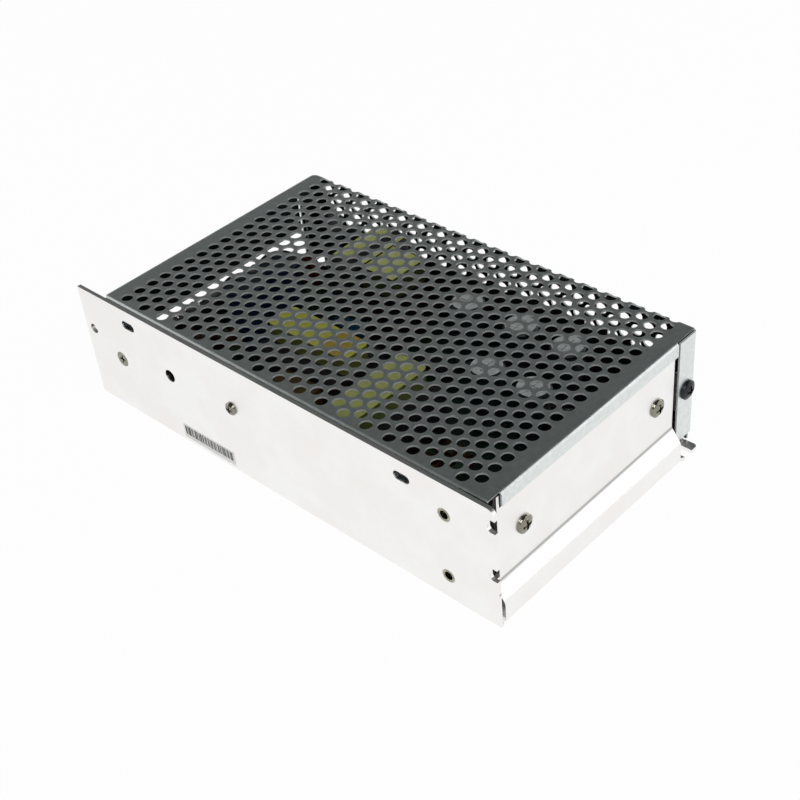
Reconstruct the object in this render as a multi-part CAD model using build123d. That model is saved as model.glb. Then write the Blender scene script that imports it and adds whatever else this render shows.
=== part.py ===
from build123d import *
import math
import os

os.makedirs("parts", exist_ok=True)

# An enclosed DC-DC converter: a folded aluminium chassis, a perforated steel
# cover, and the power circuit on one board inside. Origin at the middle of the
# footprint on the mounting surface, +X to the closed end, -Y to the plain
# aluminium wall, +Z up. Millimetres.

# Case, outside
case_length = 199.0
case_width = 110.0
case_height = 50.0

# Chassis sheet
sheet = 1.5
bend = 2.0
wall_drop = 0.3
wall_corner = 3.0
lip_height = 6.0

# End wall: an upright ledge at the foot, a slope, then the recessed panel
ledge_height = 9.0
ledge_depth = 4.2
slope_height = 5.6
ledge_radius = 3.0
panel_drop = 1.3
ledge_near_gap = 1.6
panel_near_gap = 4.4
panel_far_gap = 11.6
side_flange_depth = 9.5
relief_width = 1.7
relief_depth = 4.9

# Cover sheet
cover_sheet = 0.7
cover_bend = 1.4
cover_gap = 0.3
cover_left_inset = 13.0
cover_right_inset = 3.4
near_flange_depth = 9.8
near_flange_stop = 12.3
cover_clear_floor = 1.8
strip_height = 5.5
strip_near_gap = 7.7
strip_far_gap = 10.8
front_flange_height = 18.0
return_flange_foot = 6.3
left_flange_foot = 11.0
return_flange_gap = 1.0
corner_round = 4.5

# Perforation. The sheet is punched with 4.5 mm holes, 6 mm apart in staggered
# rows 5 mm apart. coarseness enlarges the whole pattern; 1.0 is the real one.
coarseness = 1.5
hole_width = 4.5 * coarseness
hole_pitch = 6.0 * coarseness
row_pitch = 5.0 * coarseness
hole_sides = 6
pattern_inset_x = 8.8
pattern_inset_y = 7.4
side_pattern_top = 9.0

# Screws: thread diameter, head diameter, head height
m4_pan = (4.0, 7.8, 2.6)
m3_pan = (3.0, 5.8, 2.2)
m3_flat = (3.0, 6.0, 1.45)
black_pan = (3.5, 7.2, 2.0)
thread_pilot = 0.2

# Screws and holes in the walls; a pair is distance from the open end, height
end_screw_near_gap = 18.3
end_screw_far_gap = 21.3
end_screw_height = 29.3
cover_screw_far_gap = 4.8
cover_screw_height = 27.2
insert_from_end = 20.3
insert_low = 11.0
insert_high_drop = 12.9
insert_outside = 5.2
insert_bore = 3.3
hook_from_ends = (27.8, 37.2)
hook_drop = 6.9
hook_slot = (6.8, 3.4)
countersunk = (18.9, 24.6)
clamp_screw = (81.0, 31.1)
side_hole_from_end = (47.9, 30.0)
side_hole = 5.0
tie_hole_from_end = (4.5, 32.5)
tie_hole = 4.0

# Mounting: four threaded holes in the base and a U slot at each end
base_hole_spacing_x = 150.0
base_hole_spacing_y = 50.0
base_hole = 4.0
ear_gap = 10.5
ear_slot_gap = 6.8
ear_slot_width = 4.4
ear_slot_depth = 6.5

# Board stack
film = 0.3
standoff_height = 6.0
standoff_flats = 5.5
board = 1.6
board_left_inset = 2.5
board_right_inset = 16.0
board_near_gap = 7.5
board_far_gap = 4.5
board_screw_left = 17.0
board_screw_right = 4.0
board_screw_near = 5.0
board_screw_far = 4.5

# Terminal block; the room beyond it is for the trimmer and the lamp
pole_pitch = 11.0
terminal_room = 15.0
barrier = 1.2
terminal_depth = 13.5
terminal_near_gap = 9.0
plinth_height = 7.0
terminal_height = 15.0
terminal_screw = (3.5, 6.4, 2.0)

# Trimmer and lamp: distance from the open end and from the terminal block
trimmer_gaps = (6.9, 5.4)
trimmer_size = 7.5
trimmer_height = 5.0
rotor_width = 5.0
spindle = 2.4
turning_gap = 0.06
lamp_gaps = (5.5, 11.4)
lamp = 3.0

# Places of the middles of the parts on the board, as shares of the case's length
# and width measured from its middle
transformer_at = (-0.181, 0.305)
choke_a_at = (-0.0915, -0.111)
choke_b_at = (0.1055, -0.2136)
ring_in_at = (-0.3166, -0.2545)
ring_out_at = (0.2412, -0.1864)
output_cans = ((0.0452, 0.3455), (0.1709, 0.3455), (0.2764, 0.3455), (0.201, 0.1091),
               (0.3015, 0.1136))
input_cans = ((-0.3467, -0.0273), (-0.3467, 0.1455))
heatsink_across = -0.3727
blue_capacitor_at = (-0.1286, 0.0845)
varistor_at = (-0.3719, 0.3136)
fuse_at = (-0.201, -0.3773)
chip_at = (0.0201, 0.2182)
shunt_at = (0.3719, -0.1455)

# Wound parts: length, depth, height
transformer_core = (10.0, 33.0, 31.6)
transformer_leg = 7.0
transformer_left = (5.0, 25.0, 31.0)
transformer_right = (15.6, 17.4, 31.0)
choke_core = (40.0, 13.0, 24.0)
choke_coil = (39.5, 13.0, 28.0)
choke_window_gap = 0.4
input_ring = (25.0, 13.0, 11.0)
output_ring = (16.0, 8.0, 8.0)
ring_turns = 12
wire = 1.2

# Electrolytic cans: diameter, height
output_can = (13.0, 26.0)
input_can = (16.0, 26.0)

# Power devices on the plain wall and on the heatsink
package = (10.4, 4.5, 15.5)
pad = 0.4
heatsink = (34.0, 8.0, 24.0)
heatsink_fins = 8
heatsink_room_share = 0.81066
diode_from_middle = 9.0

# Small parts: length, width, height
film_capacitor = (18.0, 8.5, 20.0)
film_capacitor_from_choke = (5.7113, 0.645)
blue_capacitor = (13.0, 6.0, 18.0)
varistor = (14.0, 4.2)
fuse = (6.0, 20.0)
chip = (19.5, 6.4, 3.6)
shunt = (14.0, 5.0, 1.4)

# Screw lengths under the head
end_screw_length = 6.0
cover_screw_length = 5.0
countersunk_length = 9.5
clamp_screw_length = 9.0
board_screw_length = 5.0
terminal_screw_length = 6.0
rectifier_screw_length = 4.0

# Post that carries each cover screw: width across and along the lip
post_across = 9.5
post_along = 15.0
post_below = 7.5
post_above = 8.5

# Places worked out from the sizes above
x_left = -case_length / 2
x_right = case_length / 2
y_near = -case_width / 2
y_far = case_width / 2
wall_inside = y_near + sheet
wall_top = case_height - wall_drop
cover_left = x_left + cover_left_inset
cover_right = x_right - cover_right_inset
cover_near = wall_inside + cover_gap
cover_under = case_height - cover_sheet
panel_face = x_right - ledge_depth
panel_inside = panel_face - sheet
panel_foot = ledge_height + slope_height
panel_top = case_height - panel_drop
panel_near = wall_inside + panel_near_gap
panel_far_edge = y_far - panel_far_gap
strip_near = y_near + strip_near_gap
strip_far = y_far - strip_far_gap
lip_face = y_far - cover_sheet - cover_gap
lip_inside = lip_face - sheet
return_right_near = strip_far + return_flange_gap
post_foot = cover_screw_height - post_below
post_top = cover_screw_height + post_above
choke_reach = (choke_coil[1] + choke_window_gap + choke_core[1]) / 2
left_tab_face = cover_left + cover_sheet + 0.1
board_bottom = sheet + standoff_height
board_top = board_bottom + board
board_left = x_left + board_left_inset
board_right = x_right - board_right_inset
board_near = y_near + board_near_gap
board_far = y_far - board_far_gap
board_screws_x = (board_left + board_screw_left, (board_left + board_right) / 2 + board_screw_left / 4,
                  board_right - board_screw_right)
board_screws_y = (board_near + board_screw_near, board_far - board_screw_far)
end_screw_near = y_near + end_screw_near_gap
end_screw_far = y_far - end_screw_far_gap
cover_screw_across = y_far - cover_screw_far_gap
insert_high = case_height - insert_high_drop
hook_height = case_height - hook_drop
hook_slots = (x_left + hook_from_ends[0], x_right - hook_from_ends[1])
countersunk_at = (x_left + countersunk[0], countersunk[1])
clamp_screw_at = (x_left + clamp_screw[0], clamp_screw[1])
side_hole_at = (x_left + side_hole_from_end[0], side_hole_from_end[1])
tie_hole_at = (x_left + tie_hole_from_end[0], tie_hole_from_end[1])
ear_near = y_far - ear_gap
ear_slot_across = y_far - ear_slot_gap
terminal_near = y_near + terminal_near_gap
poles = int((board_far - terminal_near - terminal_room) / pole_pitch)
terminal_far = terminal_near + poles * pole_pitch + barrier
trimmer_at = (x_left + trimmer_gaps[0], terminal_far + trimmer_gaps[1])
lamp_at = (x_left + lamp_gaps[0], terminal_far + lamp_gaps[1])


def placed(share):
    return share[0] * case_length, share[1] * case_width


def block(x0, x1, y0, y1, z0, z1):
    middle = Pos((x0 + x1) / 2, (y0 + y1) / 2, (z0 + z1) / 2)
    return middle * Box(x1 - x0, y1 - y0, z1 - z0)


def centred(place, size, foot):
    x, y = place
    length, width, height = size
    return Pos(x, y, foot + height / 2) * Box(length, width, height)


def along_x(diameter, x0, x1, y, z):
    rod = Cylinder(diameter / 2, x1 - x0)
    return Pos((x0 + x1) / 2, y, z) * Rot(0, 90, 0) * rod


def along_y(diameter, x, y0, y1, z):
    rod = Cylinder(diameter / 2, y1 - y0)
    return Pos(x, (y0 + y1) / 2, z) * Rot(90, 0, 0) * rod


def along_z(diameter, x, y, z0, z1):
    return Pos(x, y, (z0 + z1) / 2) * Cylinder(diameter / 2, z1 - z0)


def heading(start, end):
    dx, dy = end[0] - start[0], end[1] - start[1]
    length = math.hypot(dx, dy)
    return dx / length, dy / length


def shifted(points, distance):
    """The same open outline, moved to its left by one distance."""
    moved = []
    for i, point in enumerate(points):
        before = heading(points[max(i - 1, 0)], points[max(i, 1)])
        after = heading(*points[i:i + 2]) if i + 1 < len(points) else before
        if i == 0:
            before = after
        nx, ny = -before[1] - after[1], before[0] + after[0]
        scale = distance * 2 / (nx * nx + ny * ny)
        moved.append((point[0] + nx * scale, point[1] + ny * scale))
    return moved


def folded(points, radii, thickness):
    """Section of a folded sheet: outer face along the points, metal on its left."""
    inner_points = shifted(points, thickness)
    inner_radii = []
    for i, radius in enumerate(radii):
        a = heading(points[i], points[i + 1])
        b = heading(points[i + 1], points[i + 2])
        left_turn = a[0] * b[1] - a[1] * b[0] > 0
        inner_radii.append(radius - thickness if left_turn else radius + thickness)
    outer = FilletPolyline(*points, radius=radii)
    inner = FilletPolyline(*inner_points, radius=inner_radii)
    ends = [Line(points[0], inner_points[0]), Line(points[-1], inner_points[-1])]
    return make_face([outer, inner, *ends])


def run_x(face, x0, x1):
    return extrude(Plane.YZ.offset(x0) * face, amount=x1 - x0, dir=(1, 0, 0))


def run_y(face, y0, y1):
    plane = Plane(origin=(0, y0, 0), x_dir=(1, 0, 0), z_dir=(0, -1, 0))
    return extrude(plane * face, amount=y1 - y0, dir=(0, 1, 0))


def run_z(face, z0, z1):
    return extrude(Plane.XY.offset(z0) * face, amount=z1 - z0, dir=(0, 0, 1))


def save(shape, name):
    export_step(shape, f"parts/{name}.step")


def together(shapes, name):
    save(Compound(children=[s.solid() for s in shapes]), name)


# Fasteners, drawn with the head's underside at z = 0 and the shank below


def cross_recess(width, depth, top):
    arm = Box(width, width * 0.24, depth) + Box(width * 0.24, width, depth)
    return Pos(0, 0, top - depth / 2) * arm


def pan_screw(size, length, domed=False):
    """Pan head screw; a hidden one has a flat cone in place of the dome."""
    shank, head, height = size
    rim = height * 0.45
    rise = height - rim
    ball = (head * head / 4 + rise * rise) / (2 * rise)
    quarter = height - ball + math.sqrt(ball * ball - head * head / 16)
    top = (0, height)
    outline = Polyline((0, 0), (head / 2, 0), (head / 2, rim))
    if domed:
        crown = ThreePointArc((head / 2, rim), (head / 4, quarter), top)
    else:
        crown = Polyline((head / 2, rim), (head * 0.34, height), top)
    face = make_face([outline, crown, Line(top, (0, 0))])
    body = revolve(Plane.XZ * face, axis=Axis.Z)
    body += along_z(shank - thread_pilot, 0, 0, -length, 0)
    return body - cross_recess(head * 0.52, height * 0.55, height)


def flat_screw(size, length):
    shank, head, height = size
    cone = Pos(0, 0, -height / 2) * Cone(shank / 2, head / 2, height)
    body = cone + along_z(shank - thread_pilot, 0, 0, -length, -height)
    return body - cross_recess(head * 0.52, height * 0.6, 0)


def hex_nut(flats, bore, height):
    radius = flats / 2 / math.cos(math.pi / 6)
    nut = extrude(RegularPolygon(radius, 6), amount=height)
    return nut - along_z(bore, 0, 0, -1, height + 1)


# Chassis


def u_slot(x_open, x_end, y, width):
    """Slot open at one x, round at the other, through the base."""
    x0, x1 = min(x_open, x_end), max(x_open, x_end)
    slot = block(x0, x1, y - width / 2, y + width / 2, -1, sheet + 1)
    return slot + along_z(width, x_end, y, -1, sheet + 1)


def corner_post(tab, toward):
    """Post on the far lip with its end tab bent in behind the cover."""
    reach, depth = post_across, post_along
    if toward > 0:
        points = [(tab, lip_face - reach + 1.5), (tab, lip_face), (tab - depth, lip_face)]
        span = (tab - depth, tab - bend)
    else:
        points = [(tab + depth, lip_face), (tab, lip_face), (tab, lip_face - reach + 1.5)]
        span = (tab + bend, tab + depth)
    post = run_z(folded(points, [bend], sheet), post_foot, post_top)
    return post + block(*span, lip_inside, lip_face, lip_height - 1, post_foot + 1)


def end_wall():
    outline = [(x_right - 12, 0), (x_right, 0), (x_right, ledge_height)]
    outline += [(panel_face, panel_foot), (panel_face, panel_top)]
    section = folded(outline, [bend, ledge_radius, ledge_radius], sheet)
    wall = run_y(section, wall_inside + ledge_near_gap, panel_far_edge)
    wall -= block(panel_inside - 3, x_right, wall_inside, panel_near, panel_foot + 1.5, case_height + 1)
    flange = block(panel_face - side_flange_depth, panel_face - 0.2, panel_near,
                   panel_near + sheet, panel_foot + 1.5, panel_top - relief_depth - 1)
    wall += flange
    relief = block(panel_inside - 1, panel_face + 1, panel_near + 1.2,
                   panel_near + 1.2 + relief_width, panel_top - relief_depth, case_height + 1)
    slit = block(panel_inside - 1, panel_face + 1, panel_far_edge - 9.5, panel_far_edge + 1,
                 case_height - strip_height - 0.9, case_height - strip_height - 0.2)
    return wall - relief - slit


def chassis():
    outline = [(y_near, wall_top), (y_near, 0), (lip_face, 0), (lip_face, lip_height)]
    shell = run_x(folded(outline, [bend, bend], sheet), x_left, x_right)
    foot = x_right - 4
    shell -= block(foot, x_right + 1, y_near + bend, y_far + 1, -1, lip_height + 1)
    shell -= block(panel_inside, x_right + 1, lip_inside - 1, y_far + 1, sheet, lip_height + 1)
    shell += end_wall()
    ear = block(foot - 1, x_right, ear_near, lip_face, 0, sheet)
    shell += chamfer(ear.edges().filter_by(Axis.Z).group_by(Axis.X)[-1], 0.9)
    shell += corner_post(panel_face, 1)
    shell -= block(x_left - 1, left_tab_face - 6, lip_inside - 1, y_far, sheet, lip_height + 1)
    shell += corner_post(left_tab_face, -1)
    top_corner = block(x_right - wall_corner, x_right + 1, y_near - 1, wall_inside + 0.1,
                       wall_top - wall_corner, wall_top + 1)
    top_corner -= along_y(2 * wall_corner, x_right - wall_corner, y_near - 2,
                          wall_inside + 1, wall_top - wall_corner)
    shell -= top_corner
    for low in (20.5, 40.6):
        notch = block(x_right - 1.4, x_right + 1, y_near - 1, wall_inside + 0.1, low, low + 5)
        notch += along_y(3.0, x_right - 1.6, y_near - 1, wall_inside + 0.1, low + 1.5)
        notch += along_y(3.0, x_right - 1.6, y_near - 1, wall_inside + 0.1, low + 3.5)
        notch += block(x_right - 3.1, x_right, y_near - 1, wall_inside + 0.1, low + 1.5, low + 3.5)
        shell -= notch
    for x in hook_slots:
        length, width = hook_slot
        slot = Pos(x, y_near + sheet / 2, hook_height) * Rot(90, 0, 0)
        shell -= slot * extrude(SlotOverall(length, width), amount=sheet, both=True)
    for place, width in ((side_hole_at, side_hole), (tie_hole_at, tie_hole)):
        shell -= along_y(width, place[0], y_near - 1, wall_inside + 1, place[1])
    for z in (insert_low, insert_high):
        shell -= along_y(insert_outside, x_right - insert_from_end, y_near - 1,
                         wall_inside + 1, z)
    x, z = countersunk_at
    sink = Pos(x, y_near + m3_flat[2] / 2, z) * Rot(90, 0, 0)
    shell -= sink * Cone(m3_flat[0] / 2 + 0.1, m3_flat[1] / 2 + 0.1, m3_flat[2])
    shell -= along_y(m3_flat[0] + 0.2, x, y_near - 1, wall_inside + 1, z)
    x, z = clamp_screw_at
    shell -= along_y(m3_pan[0] + 0.2, x, y_near - 1, wall_inside + 1, z)
    for y in (end_screw_near, end_screw_far):
        shell -= along_x(m4_pan[0] + 0.2, panel_inside - 1, panel_face + 1, y, end_screw_height)
    for x0, x1 in ((panel_inside - 1, panel_face + 1), (left_tab_face - 1, left_tab_face + 3)):
        shell -= along_x(black_pan[0], x0, x1, cover_screw_across, cover_screw_height)
    for x in (-base_hole_spacing_x / 2, base_hole_spacing_x / 2):
        for y in (-base_hole_spacing_y / 2, base_hole_spacing_y / 2):
            shell -= along_z(base_hole, x, y, -1, sheet + 1)
    shell -= u_slot(x_right + 1, x_right - ear_slot_depth, ear_slot_across, ear_slot_width)
    shell -= u_slot(x_left - 1, x_left + ear_slot_depth, ear_slot_across, ear_slot_width)
    save(shell.solid(), "chassis")


# Cover


def hexagon(u, v):
    corners = []
    for k in range(hole_sides):
        turn = 2 * math.pi * (k + 0.5) / hole_sides
        corners.append((u + hole_width / 2 * math.cos(turn), v + hole_width / 2 * math.sin(turn)))
    return Wire.make_polygon([Vector(*c) for c in corners], close=True)


def perforated(u0, u1, v0, v1, first_u, first_v, last_u, last_v):
    """Flat sheet with staggered holes, rows across v at each row_pitch along u."""
    outline = Wire.make_polygon([Vector(u0, v0), Vector(u1, v0), Vector(u1, v1), Vector(u0, v1)],
                                close=True)
    holes = []
    rows = int((first_u - last_u) / row_pitch) + 1
    for row in range(rows):
        start = first_v + (hole_pitch / 2 if row % 2 else 0)
        count = int((last_v - start) / hole_pitch) + 1
        for k in range(count):
            holes.append(hexagon(first_u - row * row_pitch, start + k * hole_pitch))
    return Face(outline, holes)


def cover():
    flat_left = cover_left + cover_bend
    flat_right = cover_right - cover_bend
    flat_near = cover_near + cover_bend
    flat_far = y_far - cover_bend
    flat_top = case_height - cover_bend
    first_row = cover_right - pattern_inset_x
    last_row = cover_left + pattern_inset_x
    top_face = perforated(flat_left, flat_right, flat_near, flat_far, first_row,
                          cover_near + pattern_inset_y, last_row, flat_far - hole_width / 2 - 0.5)
    top_sheet = run_z(top_face, cover_under, case_height)
    side_low = case_height - side_pattern_top
    side_holes = int((side_low - cover_clear_floor - hole_width) / hole_pitch)
    side_start = side_low - side_holes * hole_pitch
    side_face = perforated(flat_left, flat_right, cover_clear_floor, flat_top, first_row,
                           side_start, last_row, side_low)
    joined = [run_y(side_face, y_far - cover_sheet, y_far)]

    near = [(flat_near + 1, case_height), (cover_near, case_height),
            (cover_near, case_height - near_flange_depth)]
    far = [(y_far, flat_top - 1), (y_far, case_height), (flat_far - 0.5, case_height)]
    front = [(flat_left + 1, case_height), (cover_left, case_height),
             (cover_left, case_height - front_flange_height)]
    strip = [(cover_right, case_height - strip_height), (cover_right, case_height),
             (flat_right - 1, case_height)]
    right_return = [(cover_right, return_right_near), (cover_right, y_far), (flat_right - 1, y_far)]
    left_return = [(flat_left + 1, y_far), (cover_left, y_far), (cover_left, return_right_near)]
    radii = [cover_bend]
    near_stop = x_right - near_flange_stop - cover_right_inset
    joined.append(run_x(folded(near, radii, cover_sheet), flat_left, near_stop))
    joined.append(run_x(folded(far, radii, cover_sheet), flat_left, flat_right))
    joined.append(run_y(folded(front, radii, cover_sheet), cover_near + 1, strip_far))
    joined.append(run_y(folded(strip, radii, cover_sheet), strip_near, strip_far))
    foot, return_top = return_flange_foot, cover_under - 0.4
    joined.append(run_z(folded(right_return, radii, cover_sheet), foot, return_top))
    joined.append(run_z(folded(left_return, radii, cover_sheet), left_flange_foot, return_top))

    right_edge = cover_right - cover_sheet
    under, over = cover_under, case_height
    joined.append(block(near_stop, right_edge, cover_near + 0.2, flat_near + 1, under, over))
    joined.append(block(flat_right - 1, right_edge, cover_near + 0.2, strip_near, under, over))
    joined.append(block(flat_right - 1, right_edge, strip_far, flat_far, under, over))
    joined.append(block(cover_left + 0.3, flat_left + 1, strip_far, flat_far, under, over))
    for x in hook_slots:
        joined.append(block(x - 2.4, x + 2.4, cover_near - 1.1, cover_near + 0.2,
                            hook_height - 1, hook_height + 0.8))
    shell = top_sheet + joined

    corner = block(cover_left - 1, cover_left + corner_round, y_far - corner_round, y_far + 1,
                   under - 0.2, over + 1)
    corner -= along_z(2 * corner_round, cover_left + corner_round, y_far - corner_round,
                      under - 0.2 - 1, over + 2)
    removed = [corner]
    for x0, x1 in ((cover_left - 1, cover_left + 2), (cover_right - 2, cover_right + 1)):
        removed.append(along_x(black_pan[0] + 0.4, x0, x1, cover_screw_across, cover_screw_height))
    shell -= removed
    save(shell.solid(), "cover")


# Screws, nuts and inserts


def fasteners():
    facing_x = Rot(0, 90, 0)
    facing_left = Rot(0, -90, 0)
    facing_near = Rot(90, 0, 0)
    screw = pan_screw(m4_pan, end_screw_length, True)
    nut = hex_nut(7.0, m4_pan[0] + 0.1, 3.0)
    places = [(y, end_screw_height) for y in (end_screw_near, end_screw_far)]
    together([Pos(panel_face, y, z) * facing_x * screw for y, z in places], "end_screws")
    together([Pos(panel_inside, y, z) * facing_left * nut for y, z in places], "end_nuts")

    black = pan_screw(black_pan, cover_screw_length, True)
    at = (cover_screw_across, cover_screw_height)
    pair = [Pos(cover_right, *at) * facing_x * black, Pos(cover_left, *at) * facing_left * black]
    together(pair, "cover_screws")

    x, z = countersunk_at
    flat = flat_screw(m3_flat, countersunk_length)
    together([Pos(x, y_near, z) * facing_near * flat], "countersunk_screw")
    x, z = clamp_screw_at
    pan = pan_screw(m3_pan, clamp_screw_length, True)
    together([Pos(x, y_near, z) * facing_near * pan], "clamp_screw")

    barrel = along_z(insert_outside - 0.1, 0, 0, -sheet, 0)
    barrel += along_z(insert_outside + 0.4, 0, 0, -sheet - 3.0, -sheet)
    ring = along_z(insert_outside - 0.9, 0, 0, -0.25, 0.1) - along_z(3.9, 0, 0, -1, 1)
    insert = barrel - ring - along_z(insert_bore, 0, 0, -sheet - 4, 1)
    x = x_right - insert_from_end
    together([Pos(x, y_near, z) * facing_near * insert for z in (insert_low, insert_high)],
             "wall_inserts")


# Board stack


def board_holes():
    return [(x, y) for x in board_screws_x for y in board_screws_y]


def board_stack():
    plate = block(board_left, board_right, board_near, board_far, board_bottom, board_top)
    plate = fillet(plate.edges().filter_by(Axis.Z), 1.5)
    liner = block(board_left + 1, board_right + 2, wall_inside + 1, board_far + 1, sheet,
                  sheet + film)
    liner -= block(x_left, x_left + ear_slot_depth + 2, ear_near, y_far, 0, sheet + 1)
    for x, y in board_holes():
        plate -= along_z(3.2, x, y, 0, 20)
        liner -= along_z(7.5, x, y, 0, 20)
    for x in (-base_hole_spacing_x / 2, base_hole_spacing_x / 2):
        for y in (-base_hole_spacing_y / 2, base_hole_spacing_y / 2):
            liner -= along_z(base_hole + 2, x, y, 0, 20)
    save(plate.solid(), "circuit_board")
    save(liner.solid(), "insulating_sheet")
    spacer = hex_nut(standoff_flats, 3.0, standoff_height)
    together([Pos(x, y, sheet) * spacer for x, y in board_holes()], "standoffs")
    screw = pan_screw(m3_pan, board_screw_length)
    together([Pos(x, y, board_top) * screw for x, y in board_holes()], "board_screws")


# Terminal block


def terminal_block():
    back = board_left + 0.5 + terminal_depth
    front = board_left + 0.5
    length = poles * pole_pitch + barrier
    near = terminal_near
    plinth_top = board_top + plinth_height
    top = board_top + terminal_height
    rib = Polyline((front + 1, board_top), (front + 1, plinth_top + 2), (front + 5, top - 2),
                   (back, top - 2), (back, board_top), close=True)
    body = block(front, back, near, near + length, board_top, plinth_top)
    body += block(back - 1.5, back, near, near + length, board_top, top)
    for k in range(poles + 1):
        y = near + k * pole_pitch
        body += run_y(make_face(rib), y, y + barrier)
    plates, screws = [], []
    middle = (front + back - 1.5) / 2
    for k in range(poles):
        y = near + barrier / 2 + (k + 0.5) * pole_pitch
        body -= along_z(terminal_screw[0], middle, y, board_top + 1, plinth_top + 1)
        tab = block(front + 1.5, back - 1.8, y - 4.2, y + 4.2, plinth_top, plinth_top + 0.9)
        plates.append(tab - along_z(terminal_screw[0], middle, y, 0, 40))
        screws.append(Pos(middle, y, plinth_top + 0.9) * pan_screw(terminal_screw, terminal_screw_length))
    save(body.solid(), "terminal_housing")
    together(plates, "terminal_plates")
    together(screws, "terminal_screws")


# Trimmer and lamp


def trimmer():
    x, y = trimmer_at
    top = board_top + trimmer_height
    rim = top - 1.4
    body = centred(trimmer_at, (trimmer_size, trimmer_size, trimmer_height), board_top)
    body = chamfer(body.edges().filter_by(Axis.Z), 0.8)
    body -= along_z(rotor_width + 0.2, x, y, rim, top + 1)
    body -= along_z(spindle + 2 * turning_gap, x, y, board_top + 1, top)
    rotor = along_z(rotor_width, x, y, rim + turning_gap, top + 0.4)
    rotor += along_z(spindle, x, y, board_top + 1.3, rim + 0.5)
    slot = block(x - 2.2, x + 2.2, y - 0.4, y + 0.4, top - 0.5, top + 1)
    slot += block(x - 0.4, x + 0.4, y - 1.4, y + 1.4, top - 0.5, top + 1)
    save(body.solid(), "trimmer_body")
    save((rotor - slot).solid(), "trimmer_rotor")


def lamp_piece():
    x, y = lamp_at
    body = along_z(lamp, x, y, board_top + 0.9, board_top + 4)
    body += along_z(lamp + 0.8, x, y, board_top, board_top + 1)
    body += Pos(x, y, board_top + 4) * Sphere(lamp / 2)
    save(body.solid(), "indicator_lamp")


# Wound parts


def softened(box, axis, radius):
    return fillet(box.edges().filter_by(axis), radius)


def transformer():
    """Upright E core along y; the winding shows narrow on its left and wide on its right."""
    x, y = placed(transformer_at)
    width, depth, height = transformer_core
    leg = transformer_leg
    foot = board_top + 2.0
    bar = leg * 0.8
    core = centred((x, y), transformer_core, foot)
    window = (depth - 2 * leg - leg * 1.5) / 2
    for side in (-1, 1):
        middle = y + side * (leg * 0.75 + window / 2)
        core -= centred((x, middle), (width + 2, window, height - 2 * bar), foot + bar)
    through = leg * 1.5 + 2 * window - 0.8
    near = y - through / 2
    left, right = transformer_left, transformer_right
    coil = centred((x, y), (width + 2, through, height - 2 * bar - 1.0), foot + bar + 0.5)
    coil -= centred((x, y), (width + 4, leg * 1.5 + 0.4, height), foot)
    for size, face in ((left, x - width / 2 - 0.2 - left[0]), (right, x + width / 2 + 0.2)):
        side_block = block(face, face + size[0], near, near + size[1], foot, foot + size[2])
        coil += side_block
    start, end = x - width / 2 - left[0], x + width / 2 + right[0]
    base = block(start, end, y - depth / 2 + 0.5, y + depth / 2 - 0.5, board_top, foot - 0.1)
    save(core.solid(), "transformer_core")
    save(coil.solid(), "transformer_coil")
    save(base.solid(), "transformer_base")


def lying_choke(place, turn, name):
    """Lying E core pair with its taped winding standing over the whole length."""
    length, back, height = choke_core
    coil_length, coil_width, coil_height = choke_coil
    foot = board_top + 1.5
    gap = coil_width + choke_window_gap
    middle_height = height * 0.55
    outer = Box(length, gap + back, middle_height)
    window = Box(length - 12, gap, height)
    leg = Box(11, gap + 2, height * 0.5)
    core = outer - window + leg
    coil = fillet(Box(*choke_coil).edges().filter_by(Axis.Z), 2.5)
    ends = Box(length + 2, coil_width + 2, middle_height + 0.4) - Box(length - 12.6, gap + 2 * back, height)
    coil = coil - ends - Box(11.4, coil_width + 2, height * 0.5 + 0.4)
    seat = Pos(place[0], place[1], foot + coil_height / 2) * Rot(0, 0, turn)
    rise = coil_height / 2 - middle_height / 2 - 0.1 + 1.5
    feet = Pos(0, 0, rise / 2 - coil_height / 2 - 1.5) * Box(length - 2, gap + back - 1, rise)
    carrier = feet - Box(length + 2, coil_width + 0.4, coil_height + 0.2)
    save((seat * core).solid(), name + "_core")
    save((seat * coil).solid(), name + "_coil")
    save((seat * carrier).solid(), name + "_carrier")


def ring_choke(place, size, turns_wanted, name):
    """Ring core lying on the board, wound with separate turns of thick wire."""
    x, y = placed(place)
    ring_outside, ring_inside, ring_height = size
    middle = board_top + wire + 0.3 + ring_height / 2
    ring = Cylinder(ring_outside / 2, ring_height) - Cylinder(ring_inside / 2, ring_height + 2)
    save((Pos(x, y, middle) * ring).solid(), name + "_core")
    gap = 0.12
    radial = (ring_outside - ring_inside) / 2 + 2 * gap
    high = ring_height + 2 * gap
    loop = Box(radial + 2 * wire, wire, high + 2 * wire) - Box(radial, wire + 1, high)
    turns = []
    step = 300.0 / turns_wanted
    mean = (ring_outside + ring_inside) / 4
    for k in range(turns_wanted):
        angle = 30 + (k + 0.5) * step
        turns.append(Pos(x, y, middle) * Rot(0, 0, angle) * Pos(mean, 0, 0) * loop)
    together(turns, name + "_winding")


# Cans and small parts


def can(size):
    """Sleeved can: rolled groove near the foot, bevelled rim, vent cross on top."""
    diameter, height = size
    r = diameter / 2
    points = [(0, 0), (r, 0), (r, 1.6), (r - 0.7, 2.3), (r, 3.0), (r, height - 0.8),
              (r - 0.8, height), (0, height)]
    body = revolve(Plane.XZ * make_face(Polyline(*points, close=True)), axis=Axis.Z)
    vent = Box(diameter * 0.55, 0.4, 0.4) + Box(0.4, diameter * 0.55, 0.4)
    return body - Pos(0, 0, height) * vent


def cans():
    for group, places, size in (("output", output_cans, output_can),
                                ("input", input_cans, input_can)):
        for number, share in enumerate(places, 1):
            seat = Pos(*placed(share), board_top)
            save((seat * can(size)).solid(), f"{group}_capacitor_{number}")


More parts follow.
